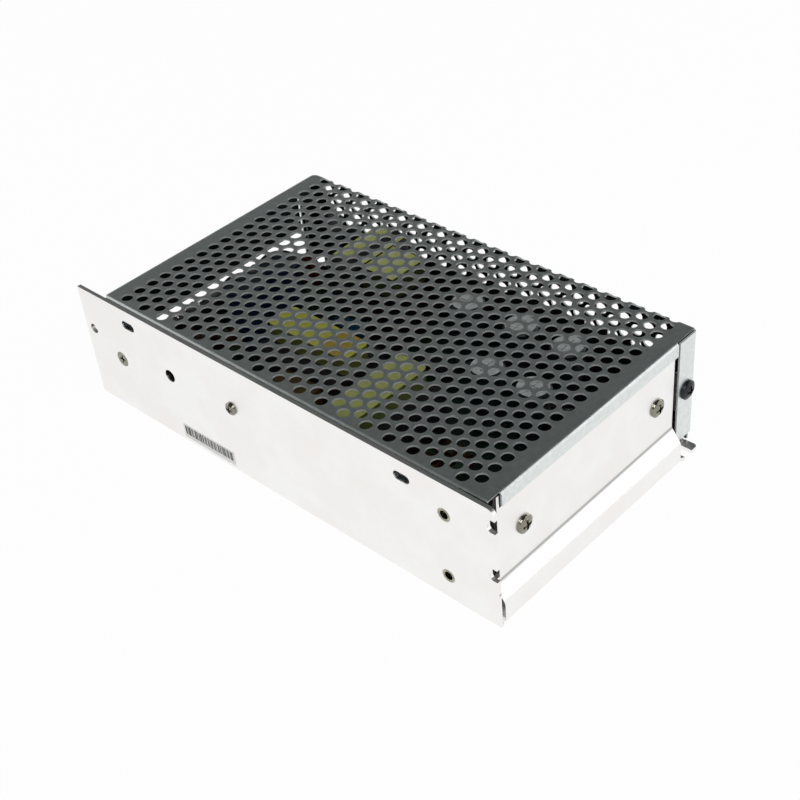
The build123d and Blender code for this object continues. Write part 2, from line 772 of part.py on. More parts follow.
def power_package(x, face_y, middle_z, facing):
    """Tabbed package: moulded body, thinner metal tab above it, three legs to the board."""
    width, depth, height = package
    y0, y1 = sorted((face_y, face_y + facing * depth))
    t0, t1 = sorted((face_y, face_y + facing * 1.3))
    foot = middle_z - height * 0.75
    body = block(x - width / 2, x + width / 2, y0, y1, foot, foot + height * 0.6)
    body += block(x - width / 2, x + width / 2, t0, t1, foot, foot + height)
    leg_y = face_y + facing * depth * 0.6
    for k in (-1, 0, 1):
        leg_x = x + k * 2.54
        body += block(leg_x - 0.4, leg_x + 0.4, leg_y - 0.3, leg_y + 0.3, board_top, foot + 0.5)
    return body


def wall_devices():
    face = wall_inside + pad
    width, depth, height = package
    rectifier_x, rectifier_z = countersunk_at
    hole_z = rectifier_z
    body = power_package(rectifier_x, face, rectifier_z - height * 0.04, 1)
    body -= along_y(m3_flat[0] + 0.2, rectifier_x, wall_inside - 1, face + 3, rectifier_z)
    save(body.solid(), "input_transistor")
    nut = Pos(rectifier_x, face + 1.3, rectifier_z) * Rot(-90, 0, 0) * hex_nut(5.5, 2.9, 2.4)
    save(nut.solid(), "device_nut")
    sheet_pad = block(rectifier_x - width / 2 - 1, rectifier_x + width / 2 + 1, wall_inside, face,
                      rectifier_z - height, rectifier_z + 5.5)
    sheet_pad -= along_y(m3_flat[0] + 0.2, rectifier_x, wall_inside - 1, face + 1, rectifier_z)
    save(sheet_pad.solid(), "thermal_pad_1")

    x, z = clamp_screw_at
    spread = width / 2 + 2.2
    top = z - 3.0
    for name, side in (("switch_transistor_1", -1), ("switch_transistor_2", 1)):
        device = power_package(x + side * spread, face, z - 5, 1)
        save(device.solid(), name)
    wide_pad = block(x - spread - width / 2 - 1, x + spread + width / 2 + 1, wall_inside, face,
                     z - 18, z + 5)
    wide_pad -= along_y(m3_pan[0] + 0.2, x, wall_inside - 1, face + 1, z)
    save(wide_pad.solid(), "thermal_pad_2")
    bar_face = face + depth
    body_top = z - 5 - height * 0.75 + height * 0.6
    bar_low, bar_high = body_top - 6.5, body_top - 0.5
    clamp = block(x - spread - width / 2 + 1, x + spread + width / 2 - 1, bar_face, bar_face + 1.5,
                  bar_low, bar_high)
    clamp += block(x - 3.2, x + 3.2, bar_face, bar_face + 1.5, bar_low, z + 3.2)
    clamp += block(x - 3.2, x + 3.2, face + 0.1, bar_face + 1.5, z + 1.9, z + 3.2)
    clamp -= along_y(m3_pan[0] - thread_pilot + 0.1, x, face - 1, bar_face + 3, z)
    save(clamp.solid(), "transistor_clamp")


def heatsink_bank():
    """Finned extrusion on the board, two rectifiers screwed to its plain face."""
    length, width, height = heatsink
    choke_side = placed(choke_b_at)[0] + choke_reach
    room = board_screws_x[-1] - m3_pan[1] / 2 - choke_side - length
    x = choke_side + heatsink_room_share * room + length / 2
    y = heatsink_across * case_width
    spine = 3.0
    face = y + width / 2
    body = block(x - length / 2, x + length / 2, face - spine, face, board_top, board_top + height)
    step = (length - 1.2) / (heatsink_fins - 1)
    for k in range(heatsink_fins):
        left = x - length / 2 + k * step
        body += block(left, left + 1.2, y - width / 2, face - spine + 0.5, board_top,
                      board_top + height)
    hole_z = board_top + height - 7.0
    places = [x - diode_from_middle, x + diode_from_middle]
    diodes = []
    for px in places:
        body -= along_y(m3_pan[0] - thread_pilot + 0.1, px, face - spine, face + 1, hole_z)
    save(body.solid(), "heatsink")
    for number, px in enumerate(places, 1):
        diode = power_package(px, face, hole_z - package[2] * 0.06, 1)
        diode -= along_y(m3_pan[0] + 0.2, px, face - 1, face + 3, hole_z)
        save(diode.solid(), f"output_rectifier_{number}")
    screw = pan_screw(m3_pan, rectifier_screw_length)
    facing = Rot(-90, 0, 0)
    together([Pos(px, face + 1.3, hole_z) * facing * screw for px in places], "rectifier_screws")


def small_parts():
    x, y = placed(choke_a_at)
    x += film_capacitor_from_choke[0]
    y -= choke_reach + film_capacitor_from_choke[1] + film_capacitor[1] / 2
    box = centred((x, y), film_capacitor, board_top)
    save(softened(box, Axis.Z, 1.2).solid(), "film_capacitor")
    box = centred(placed(blue_capacitor_at), blue_capacitor, board_top)
    save(softened(box, Axis.Z, 2.5).solid(), "blue_capacitor")

    x, y = placed(varistor_at)
    width, thick = varistor
    disc = along_y(width, x, y - thick / 2, y + thick / 2, board_top + 2 + width / 2)
    disc += block(x - 3.9, x - 3.1, y - 0.4, y + 0.4, board_top, board_top + 5)
    disc += block(x + 3.1, x + 3.9, y - 0.4, y + 0.4, board_top, board_top + 5)
    save(disc.solid(), "varistor")

    x, y = placed(fuse_at)
    width, length = fuse
    z = board_top + 1.0 + width / 2
    tube = along_x(width - 0.6, x - length / 2 + 0.5, x + length / 2 - 0.5, y, z)
    caps = [along_x(width, x - length / 2, x - length / 2 + 5, y, z),
            along_x(width, x + length / 2 - 5, x + length / 2, y, z)]
    save((tube + caps[0] + caps[1]).solid(), "fuse")
    clips = []
    for side in (-1, 1):
        cx = x + side * (length / 2 - 2.5)
        clip = block(cx - 2, cx + 2, y - width / 2 - 0.8, y + width / 2 + 0.8, board_top, z + 2)
        clips.append(clip - along_x(width + 0.2, cx - 3, cx + 3, y, z)
                     - block(cx - 3, cx + 3, y - width / 2 + 0.6, y + width / 2 - 0.6, z, z + 3))
    together(clips, "fuse_clips")

    length, width, height = chip
    x, y = placed(chip_at)
    body = centred((x, y), (length, width, height), board_top + 0.6)
    for k in range(8):
        pin_x = x + (k - 3.5) * 2.54 * 0.94
        body += block(pin_x - 0.3, pin_x + 0.3, y - width / 2 - 0.7, y - width / 2 + 0.1,
                      board_top, board_top + 2.4)
        body += block(pin_x - 0.3, pin_x + 0.3, y + width / 2 - 0.1, y + width / 2 + 0.7,
                      board_top, board_top + 2.4)
    save(body.solid(), "control_chip")

    x, y = placed(shunt_at)
    length, thick, height = shunt[0], shunt[2], 7.0
    strap = block(x - length / 2, x + length / 2, y - 2.5, y + 2.5, board_top, board_top + height)
    strap -= block(x - length / 2 + thick, x + length / 2 - thick, y - 3, y + 3, board_top - 1,
                   board_top + height - thick)
    save(strap.solid(), "current_shunt")


chassis()
cover()
fasteners()
board_stack()
terminal_block()
trimmer()
lamp_piece()
transformer()
lying_choke(placed(choke_a_at), 0, "choke_a")
lying_choke(placed(choke_b_at), 90, "choke_b")
ring_choke(ring_in_at, input_ring, ring_turns, "input_ring")
ring_choke(ring_out_at, output_ring, ring_turns - 4, "output_ring")
cans()
wall_devices()
heatsink_bank()
small_parts()
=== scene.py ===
# %% [markdown]
# # An enclosed DC-DC converter
# The real object is a power supply in a sheet metal case: a bare aluminium chassis,
# a galvanised and punched steel cover, and a board full of parts that shows through
# the holes. The shapes come from a CAD model, so this script adds the look: the true
# punching of the cover, the finishes, the light and the camera.

# %% Load the CAD parts
import math

import bmesh
import bpy
from mathutils import Matrix, Vector


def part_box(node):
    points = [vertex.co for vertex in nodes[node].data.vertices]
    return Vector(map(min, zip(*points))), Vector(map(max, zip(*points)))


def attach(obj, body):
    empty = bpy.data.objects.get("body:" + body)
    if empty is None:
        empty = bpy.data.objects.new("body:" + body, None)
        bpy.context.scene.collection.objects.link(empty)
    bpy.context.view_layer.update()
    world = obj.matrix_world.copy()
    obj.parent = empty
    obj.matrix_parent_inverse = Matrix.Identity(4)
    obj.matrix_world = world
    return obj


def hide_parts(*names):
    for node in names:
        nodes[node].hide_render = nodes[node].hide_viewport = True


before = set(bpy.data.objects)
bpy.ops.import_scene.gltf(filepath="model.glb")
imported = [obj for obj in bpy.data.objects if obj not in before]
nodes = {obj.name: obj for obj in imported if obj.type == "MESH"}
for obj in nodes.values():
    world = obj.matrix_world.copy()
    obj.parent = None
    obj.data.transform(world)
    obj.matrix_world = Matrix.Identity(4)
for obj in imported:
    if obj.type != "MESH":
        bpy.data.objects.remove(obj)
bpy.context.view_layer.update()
scene = bpy.context.scene
scene.view_settings.view_transform = "Standard"
mm = 0.001
print(len(nodes), "CAD nodes")

# %% [markdown]
# ## The camera
# A product photograph is taken with a long lens, so lines stay nearly parallel. The
# camera's place and direction were worked out from the corners of the case, whose
# sizes are known. It is built from three directions: to the right of the picture,
# up in the picture, and back towards the camera.

# %% Camera
picture = 800
focal_pixels = 1415.7
centre_x, centre_y = 399.15, 403.6
camera_place = (0.299372, -0.279159, 0.329502)
right = Vector((0.733121, 0.675383, -0.080280))
up = Vector((-0.375046, 0.499903, 0.780665))
back = Vector((0.567355, -0.542173, 0.619751))

lens = bpy.data.cameras.new("camera")
lens.sensor_width = 36.0
lens.lens = focal_pixels / picture * lens.sensor_width
lens.shift_x = (picture / 2 - centre_x) / picture
lens.shift_y = (centre_y - picture / 2) / picture
lens.clip_start = 0.01
camera = bpy.data.objects.new("camera", lens)
scene.collection.objects.link(camera)
turned = Matrix((right, up, back)).transposed().to_4x4()
camera.matrix_world = Matrix.Translation(camera_place) @ turned
scene.camera = camera
print("lens", round(lens.lens, 1), "mm")

# %% [markdown]
# ## Colours and shader nodes
# Colours are written as the hex values a person reads off a screen. Blender works in
# linear light, so one function turns them. One more function adds a shader node, with
# its settings and its links, so that a whole material reads from top to bottom.


# %% Two helpers
def linear(code):
    """Linear RGBA from an sRGB hex colour such as #AABBCC."""
    values = [int(code[i:i + 2], 16) / 255 for i in (1, 3, 5)]
    turned = [v / 12.92 if v <= 0.04045 else ((v + 0.055) / 1.055) ** 2.4 for v in values]
    return (*turned, 1.0)


def add(tree, kind, inputs=None, **settings):
    """A shader node of that kind; a socket given as an input is linked, a value is set."""
    node = tree.nodes.new("ShaderNode" + kind)
    for name, value in settings.items():
        setattr(node, name, value)
    for name, value in (inputs or {}).items():
        socket = node.inputs[name]
        if isinstance(value, bpy.types.NodeSocket):
            tree.links.new(value, socket)
        else:
            socket.default_value = value
    return node


# %% [markdown]
# ## The studio
# The object stands on a white floor under plain, soft light. Metal has no colour of its
# own to show, it mirrors what is around it. The walls of the case mirror the white floor
# and look pale, while the punched top mirrors the dim room overhead and looks dark grey.
# So the world is white low down and dim high up, for the camera, for mirrors and for
# glass alike, and it is one even grey for the soft light that falls on plain surfaces.
# The floor tells the same two kinds of ray apart, so a small function does it for both.


# %% Rays that look and rays of soft light
def looking(tree):
    """1 for a ray of the camera, a mirror or glass, and 0 for soft light."""
    rays = add(tree, "LightPath")
    mirror = add(tree, "Math", {0: rays.outputs["Is Glossy Ray"],
                                1: rays.outputs["Is Transmission Ray"]}, operation="MAXIMUM")
    seen = add(tree, "Math", {0: rays.outputs["Is Camera Ray"], 1: mirror.outputs[0]},
               operation="MAXIMUM")
    return seen.outputs[0]


# %% World
white_below, dim_above = 0.12, 0.34
world = bpy.data.worlds.new("studio")
scene.world = world
world.use_nodes = True
sky = world.node_tree
sky.nodes.clear()
direction = add(sky, "TexCoord").outputs["Generated"]
height = add(sky, "SeparateXYZ", {"Vector": direction}).outputs["Z"]
upward = add(sky, "MapRange", {"Value": height, "From Min": white_below, "From Max": dim_above})
room = add(sky, "MixRGB", {"Fac": upward.outputs[0], "Color1": (1, 1, 1, 1),
                           "Color2": linear("#414645")})
even = add(sky, "Background", {"Color": linear("#F6F7FA"), "Strength": 0.40})
around = add(sky, "Background", {"Color": room.outputs[0], "Strength": 1.0})
shown = add(sky, "MixShader", {0: looking(sky), 1: even.outputs[0], 2: around.outputs[0]})
add(sky, "OutputWorld", {"Surface": shown.outputs[0]})
print("world", world.name)

# %% [markdown]
# Four soft lamps: a large key from the front right, a weak fill from the left, one from
# behind for the far edge, and a low one at the right that the sloping fold of the end
# wall mirrors, which makes that fold the palest face of the case. The table gives each
# lamp's name, its place and width in metres, and its power in watts.

# %% Lamps
aimed_at = Vector((0, 0, 0.02))
lamps = [
    ("key", (0.62, -0.62, 0.80), 0.60, 5.0),
    ("fill", (-0.95, -0.25, 0.40), 0.80, 1.8),
    ("back", (0.35, 1.00, 0.30), 0.70, 2.0),
    ("slope", (0.90, 0.65, 0.45), 0.60, 1.3),
]
for name, place, size, power in lamps:
    light = bpy.data.lights.new(name, "AREA")
    light.shape = "DISK"
    light.size = size
    light.energy = power
    lamp = bpy.data.objects.new(name, light)
    scene.collection.objects.link(lamp)
    aim = (aimed_at - Vector(place)).to_track_quat("-Z", "Y").to_matrix().to_4x4()
    lamp.matrix_world = Matrix.Translation(place) @ aim
print(len(lamps), "lamps")

# %% [markdown]
# The floor is matt white paper. What the camera, a mirror or glass sees of it is mostly
# plain white, and the rest still takes the shadow of the case.

# %% Floor
floor_half = 3.0
plain_white_share = 0.96
floor_shape = bmesh.new()
bmesh.ops.create_grid(floor_shape, x_segments=1, y_segments=1, size=floor_half)
floor_mesh = bpy.data.meshes.new("floor")
floor_shape.to_mesh(floor_mesh)
floor_shape.free()
floor = bpy.data.objects.new("floor", floor_mesh)
scene.collection.objects.link(floor)
paint = bpy.data.materials.new("white_paper_sweep")
paint.use_nodes = True
tree = paint.node_tree
tree.nodes.clear()
matt = add(tree, "BsdfDiffuse", {"Color": linear("#F7F7F7")})
white = add(tree, "Emission", {"Color": (1, 1, 1, 1), "Strength": 1.0})
share = add(tree, "Math", {0: looking(tree), 1: plain_white_share}, operation="MULTIPLY")
blend = add(tree, "MixShader", {0: share.outputs[0], 1: matt.outputs[0], 2: white.outputs[0]})
add(tree, "OutputMaterial", {"Surface": blend.outputs[0]})
floor_mesh.materials.append(paint)
print("floor laid")

# %% [markdown]
# ## Finishes
# Each finish is named for the real material and the way its surface was made. A pattern
# is drawn on Object coordinates, which are metres from the part's own origin, so a
# Mapping node with a scale worked out from real millimetres sets how large it is. Some
# finishes change with the place or the tilt of a face, so one function multiplies tests
# into a mask. A face counts as looking up when its normal rises more than looks_up.

# %% Start of a finish
looks_up = 0.8


def begin(name):
    """A new empty material: itself, its node tree and its Object coordinates."""
    material = bpy.data.materials.new(name)
    material.use_nodes = True
    material.node_tree.nodes.clear()
    return material, material.node_tree, add(material.node_tree, "TexCoord").outputs["Object"]


def per_mm(x, y, z):
    """Mapping scale at which a pattern repeats about every x, y and z millimetres."""
    return 1 / (x * mm), 1 / (y * mm), 1 / (z * mm)


def where_all(tree, tests):
    """1 where every test holds, else 0; a test is a value, a comparison and a limit."""
    masks = [add(tree, "Math", {0: value, 1: limit}, operation=comparison).outputs[0]
             for value, comparison, limit in tests]
    product = masks[0]
    for mask in masks[1:]:
        product = add(tree, "Math", {0: product, 1: mask}, operation="MULTIPLY").outputs[0]
    return product


# %% [markdown]
# The chassis is mill finish aluminium sheet. Rolling leaves a fine grain along the case
# and handling leaves faint warm clouds, both too weak to read as marks, but without
# them the wall looks like plastic. The real grain is too fine to show, so it is drawn
# 0.7 mm wide. It makes some lines a little duller than others and barely raises them.

# %% Bare aluminium
aluminium, tree, place = begin("mill_finish_aluminium")
wide = add(tree, "Mapping", {"Vector": place, "Scale": per_mm(16, 16, 16)})
clouds = add(tree, "TexNoise", {"Vector": wide.outputs[0], "Scale": 1.0, "Detail": 3.0,
                                "Roughness": 0.55})
cloudy = add(tree, "MapRange", {"Value": clouds.outputs[0], "From Min": 0.35, "From Max": 0.65})
colour = add(tree, "MixRGB", {"Fac": cloudy.outputs[0], "Color1": linear("#F5F2F0"),
                              "Color2": linear("#F7F7F5")})
along = add(tree, "Mapping", {"Vector": place, "Scale": per_mm(26, 0.7, 0.7)})
rolled_grain = add(tree, "TexNoise", {"Vector": along.outputs[0], "Scale": 1.0, "Detail": 2.0})
rough = add(tree, "MapRange", {"Value": rolled_grain.outputs[0], "From Min": 0.3, "From Max": 0.7,
                               "To Min": 0.30, "To Max": 0.40})
bump = add(tree, "Bump", {"Height": rolled_grain.outputs[0], "Strength": 0.2,
                          "Distance": 0.01 * mm})
print("begun", aluminium.name)

# %% [markdown]
# The faces inside the case lie in shade, so they are given a darker grey of painted
# shade by where they lie. Where the end panel is folded out into the slope, a thin grey
# line of painted shade lies along the crease, and stops short of the plain wall's face.

# %% Painted shade inside and in the crease
inner_left, inner_right, inner_near = -86.0, 92.0, -54.5
inner_floor, inner_top = 0.8, 49.4
end_panel_from, panel_foot = 93.0, 14.6
crease_shade_full, crease_shade_out = 0.1, 0.8
where = add(tree, "SeparateXYZ", {"Vector": place})
inside = where_all(tree, ((where.outputs["X"], "GREATER_THAN", inner_left * mm),
                          (where.outputs["X"], "LESS_THAN", inner_right * mm),
                          (where.outputs["Y"], "GREATER_THAN", inner_near * mm),
                          (where.outputs["Z"], "GREATER_THAN", inner_floor * mm),
                          (where.outputs["Z"], "LESS_THAN", inner_top * mm)))
# Painted shade: faces inside the case are given a darker grey.
painted_inside_shade = add(tree, "MixRGB", {"Fac": inside, "Color1": colour.outputs[0],
                              "Color2": linear("#55585A")})
# Painted shade: a thin darker grey line along the crease at the top of the slope.
height = add(tree, "Math", {0: where.outputs["Z"], 1: panel_foot * mm}, operation="SUBTRACT")
apart = add(tree, "Math", {0: height.outputs[0]}, operation="ABSOLUTE")
crease_shade_falloff = add(tree, "MapRange", {"Value": apart.outputs[0], "From Min": crease_shade_full * mm,
                                "From Max": crease_shade_out * mm, "To Min": 0.75, "To Max": 0.0})
at_end = where_all(tree, ((where.outputs["X"], "GREATER_THAN", end_panel_from * mm),
                          (where.outputs["Y"], "GREATER_THAN", inner_near * mm)))
painted_crease_shade = add(tree, "Math", {0: crease_shade_falloff.outputs[0], 1: at_end}, operation="MULTIPLY")
sheet_with_painted_shade = add(tree, "MixRGB", {"Fac": painted_crease_shade.outputs[0], "Color1": painted_inside_shade.outputs[0],
                                    "Color2": linear("#8B8D8B")})
shader = add(tree, "BsdfPrincipled", {"Base Color": sheet_with_painted_shade.outputs[0], "Metallic": 1.0,
                                      "Roughness": rough.outputs[0], "Normal": bump.outputs[0]})
add(tree, "OutputMaterial", {"Surface": shader.outputs[0]})
print("finished", aluminium.name)

# %% [markdown]
# The cover is hot dip galvanised steel. Zinc freezes in flat crystals, so the sheet is a
# patchwork of slightly different greys, and each patch is a little glossier or duller.

# %% Galvanised steel
galvanised, tree, place = begin("galvanised_steel_sheet")
flake = add(tree, "Mapping", {"Vector": place, "Scale": per_mm(1.1, 1.1, 1.1)})
bent = add(tree, "TexNoise", {"Vector": flake.outputs[0], "Scale": 1.3, "Detail": 2.0})
pushed = add(tree, "VectorMath", {0: flake.outputs[0], 1: bent.outputs["Color"]}, operation="ADD")
crystals = add(tree, "TexVoronoi", {"Vector": pushed.outputs[0], "Scale": 1.0})
shade = add(tree, "SeparateColor", {"Color": crystals.outputs["Color"]})
colour = add(tree, "MixRGB", {"Fac": shade.outputs[0], "Color1": linear("#DADFDE"),
                              "Color2": linear("#E4E8E7")})
rough = add(tree, "MapRange", {"Value": shade.outputs[1], "To Min": 0.33, "To Max": 0.39})
shader = add(tree, "BsdfPrincipled", {"Base Color": colour.outputs[0], "Metallic": 1.0,
                                      "Roughness": rough.outputs[0]})
add(tree, "OutputMaterial", {"Surface": shader.outputs[0]})
print("finished", galvanised.name)

# %% [markdown]
# None of the smaller parts is one flat colour. Plated metal, moulded plastic and fired
# ceramic all show two close tones in a mottle, so one function makes every finish of
# that kind. Where the real texture is too fine to show, as on nylon or a cut edge, the
# mottle is drawn about half a millimetre coarse.


# %% Mottled finishes
def mottled(name, first, second, roughness, size, metallic=0.0):
    """A finish of two close tones, in a mottle about as coarse as size, in millimetres."""
    material, tree, place = begin(name)
    grain = add(tree, "Mapping", {"Vector": place, "Scale": per_mm(size, size, size)})
    grains = add(tree, "TexNoise", {"Vector": grain.outputs[0], "Scale": 1.0})
    colour = add(tree, "MixRGB", {"Fac": grains.outputs[0], "Color1": linear(first),
                                  "Color2": linear(second)})
    shader = add(tree, "BsdfPrincipled", {"Base Color": colour.outputs[0], "Metallic": metallic,
                                          "Roughness": roughness})
    add(tree, "OutputMaterial", {"Surface": shader.outputs[0]})
    return material


# %% [markdown]
# The cover's sheet has two more kinds of face. The one inside the case lies in the case's
# shade, so it is given a dark grey of painted shade. The cut edges, round every hole and
# along the outline, are bare steel sheared by the punch: rough, so they catch the light
# from any side and draw a pale arc in each hole.

# %% Painted shade of the inner face, and sheared edges of the cover
cover_faces = [
    # The inner face: galvanised steel darkened as painted shade.
    mottled("galvanised_inner_face_painted_shade", "#343838", "#484D4C", 0.55, 3.0, metallic=1.0),
    mottled("sheared_steel_edge", "#B4B9B7", "#C9CDCB", 0.50, 0.5, metallic=0.35)]
print(len(cover_faces), "more faces of the cover")

# %% [markdown]
# Screws are nickel plated steel: smoother than the sheets, so they show both the white
# floor and the dim room. The two that hold the cover are blackened instead, an oxide
# that is dark but keeps a soft shine.

# %% Screws, nuts and plated parts
metals = {}
for name, first, second, metallic, roughness, size in (
        ("bright_nickel_plate", "#706C62", "#A29E92", 1.0, 0.10, 0.8),
        ("black_oxide_steel", "#1D1E20", "#313236", 0.6, 0.34, 0.6),
        ("nickel_plated_brass", "#A9A494", "#C9C4B4", 1.0, 0.20, 0.8),
        ("manganin_strap", "#7D7263", "#9E9282", 1.0, 0.35, 1.5),
        ("enamelled_copper_wire", "#3A2416", "#5A3820", 0.6, 0.30, 1.5),
        ("extruded_aluminium", "#AFB1B3", "#CBCCCE", 1.0, 0.40, 2.0)):
    metals[name] = mottled(name, first, second, roughness, size, metallic)
print(len(metals), "metal finishes")

# %% [markdown]
# The board is glass epoxy with a green solder mask. Copper tracks under the mask read as
# slightly paler squared patches, which a Voronoi pattern with square cells gives.

# %% Solder masked board
laminate, tree, place = begin("solder_masked_laminate")
patch = add(tree, "Mapping", {"Vector": place, "Scale": per_mm(9, 5, 5)})
tracks = add(tree, "TexVoronoi", {"Vector": patch.outputs[0], "Scale": 1.0},
             distance="CHEBYCHEV")
tone = add(tree, "SeparateColor", {"Color": tracks.outputs["Color"]})
colour = add(tree, "MixRGB", {"Fac": tone.outputs[0], "Color1": linear("#081A11"),
                              "Color2": linear("#0F2A1B")})
shader = add(tree, "BsdfPrincipled", {"Base Color": colour.outputs[0], "Roughness": 0.32})
add(tree, "OutputMaterial", {"Surface": shader.outputs[0]})
print("finished", laminate.name)

# %% [markdown]
# Winding tape is thin polyester film, glossy and a strong yellow green. It goes round
# the coil many times, and each turn ends in a fine line, so the colour is banded. The
# sides of a coil lie in shade, so painted shade turns the tape's colour to dark olive on
# faces that look sideways, and to black below a set height on the transformer's coil.
# One choke has a short second tape in orange across its top. The others are given a
# stripe that lies far outside the case, and the chokes a painted low shade of no height.

# %% Winding tape with painted shade
looks_aside = 0.3
orange_stripe, no_stripe = (-12.5, -1.5), (900.0, 901.0)
low_shade_top, no_low_shade = 33.0, 0.0
tapes = {}
# Each line: the tape, its two tones, the painted shade colour of sideways faces, its stripe, and
# the height below which black painted shade lies.
for name, first, second, side, stripe, low_shade_height in (
        ("yellow_polyester_tape", "#BDC14A", "#D2D560", "#6B7038", orange_stripe, no_low_shade),
        ("green_polyester_tape", "#B2BC66", "#C6CE7E", "#66703E", no_stripe, no_low_shade),
        ("taped_coil_with_painted_low_shade", "#C8D178", "#DAE190", "#3B4226", no_stripe, low_shade_top)):
    tapes[name], tree, place = begin(name)
    turn = add(tree, "Mapping", {"Vector": place, "Scale": per_mm(14, 14, 3)})
    bands = add(tree, "TexNoise", {"Vector": turn.outputs[0], "Scale": 1.0, "Detail": 2.0})
    colour = add(tree, "MixRGB", {"Fac": bands.outputs[0], "Color1": linear(first),
                                  "Color2": linear(second)})
    where = add(tree, "SeparateXYZ", {"Vector": place})
    crossed = where_all(tree, ((where.outputs["X"], "GREATER_THAN", stripe[0] * mm),
                               (where.outputs["X"], "LESS_THAN", stripe[1] * mm)))
    striped = add(tree, "MixRGB", {"Fac": crossed, "Color1": colour.outputs[0],
                                   "Color2": linear("#B9A040")})
    # Painted shade: faces that look sideways fade to the darker side colour.
    facing = add(tree, "SeparateXYZ", {"Vector": add(tree, "NewGeometry").outputs["Normal"]})
    upward = add(tree, "MapRange", {"Value": facing.outputs["Z"], "From Min": looks_aside,
                                    "From Max": looks_up})
    taped = add(tree, "MixRGB", {"Fac": upward.outputs[0], "Color1": linear(side),
                                 "Color2": striped.outputs[0]})
    # Painted shade: black below the low shade height.
    above = add(tree, "Math", {0: where.outputs["Z"], 1: low_shade_height * mm}, operation="GREATER_THAN")
    tape_with_low_shade = add(tree, "MixRGB", {"Fac": above.outputs[0], "Color1": linear("#141416"),
                                "Color2": taped.outputs[0]})
    shader = add(tree, "BsdfPrincipled", {"Base Color": tape_with_low_shade.outputs[0], "Roughness": 0.30})
    add(tree, "OutputMaterial", {"Surface": shader.outputs[0]})
print(len(tapes), "tapes")

# %% [markdown]
# The transformer's core is black ferrite, and the tape of its coil laps over it on both
# sides, so a narrow band is all that shows of the core from above.

# %% Lapped core
band_left, band_right = -38.8, -33.0
lap_near, lap_far = 24.5, 49.5
lapped_core, tree, place = begin("ferrite_with_lapped_tape")
grit = add(tree, "Mapping", {"Vector": place, "Scale": per_mm(0.5, 0.5, 0.5)})
grits = add(tree, "TexNoise", {"Vector": grit.outputs[0], "Scale": 1.0})
bare = add(tree, "MixRGB", {"Fac": grits.outputs[0], "Color1": linear("#161719"),
                            "Color2": linear("#25262A")})
where = add(tree, "SeparateXYZ", {"Vector": place})
facing = add(tree, "SeparateXYZ", {"Vector": add(tree, "NewGeometry").outputs["Normal"]})
left = add(tree, "Math", {0: where.outputs["X"], 1: band_left * mm}, operation="LESS_THAN")
beyond = add(tree, "Math", {0: where.outputs["X"], 1: band_right * mm}, operation="GREATER_THAN")
beside = add(tree, "Math", {0: left.outputs[0], 1: beyond.outputs[0]}, operation="MAXIMUM")
on_top = where_all(tree, ((where.outputs["Y"], "GREATER_THAN", lap_near * mm),
                          (where.outputs["Y"], "LESS_THAN", lap_far * mm),
                          (facing.outputs["Z"], "GREATER_THAN", looks_up)))
lap = add(tree, "Math", {0: beside.outputs[0], 1: on_top}, operation="MULTIPLY")
colour = add(tree, "MixRGB", {"Fac": lap.outputs[0], "Color1": bare.outputs[0],
                              "Color2": linear("#D0D984")})
shader = add(tree, "BsdfPrincipled", {"Base Color": colour.outputs[0], "Roughness": 0.40})
add(tree, "OutputMaterial", {"Surface": shader.outputs[0]})
print("finished", lapped_core.name)

# %% [markdown]
# A can's sleeve stops at its rim, where the bare aluminium top shows. The two are one
# CAD solid, so the finish changes with height: above a set height, faces that look up
# are metal. The two input cans have a dark coated top instead.

# %% Sleeved cans
rim_depth = 0.9
rim_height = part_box("output_capacitor_1")[1].z - rim_depth * mm
sleeves = {}
for name, first, second, top in (("black_sleeved_can", "#0E1114", "#1C2228", "#D2D6D4"),
                                 ("blue_sleeved_can", "#121A2B", "#202B42", "#34393D")):
    sleeves[name], tree, place = begin(name)
    wear = add(tree, "Mapping", {"Vector": place, "Scale": per_mm(3, 3, 3)})
    rubbed = add(tree, "TexNoise", {"Vector": wear.outputs[0], "Scale": 1.0})
    sleeve = add(tree, "MixRGB", {"Fac": rubbed.outputs[0], "Color1": linear(first),
                                  "Color2": linear(second)})
    level = add(tree, "SeparateXYZ", {"Vector": place}).outputs["Z"]
    facing = add(tree, "SeparateXYZ", {"Vector": add(tree, "NewGeometry").outputs["Normal"]})
    metal = where_all(tree, ((level, "GREATER_THAN", rim_height),
                             (facing.outputs["Z"], "GREATER_THAN", looks_up)))
    colour = add(tree, "MixRGB", {"Fac": metal, "Color1": sleeve.outputs[0],
                                  "Color2": linear(top)})
    shader = add(tree, "BsdfPrincipled", {"Base Color": colour.outputs[0], "Roughness": 0.38})
    add(tree, "OutputMaterial", {"Surface": shader.outputs[0]})
print("cans turn to bare metal above", round(rim_height / mm, 1), "mm")

# %% [markdown]
# The rest are moulded or dipped plastics and fired ceramics, which are mottled too. Each
# line gives the material, its two tones, its roughness and how coarse its mottle is.

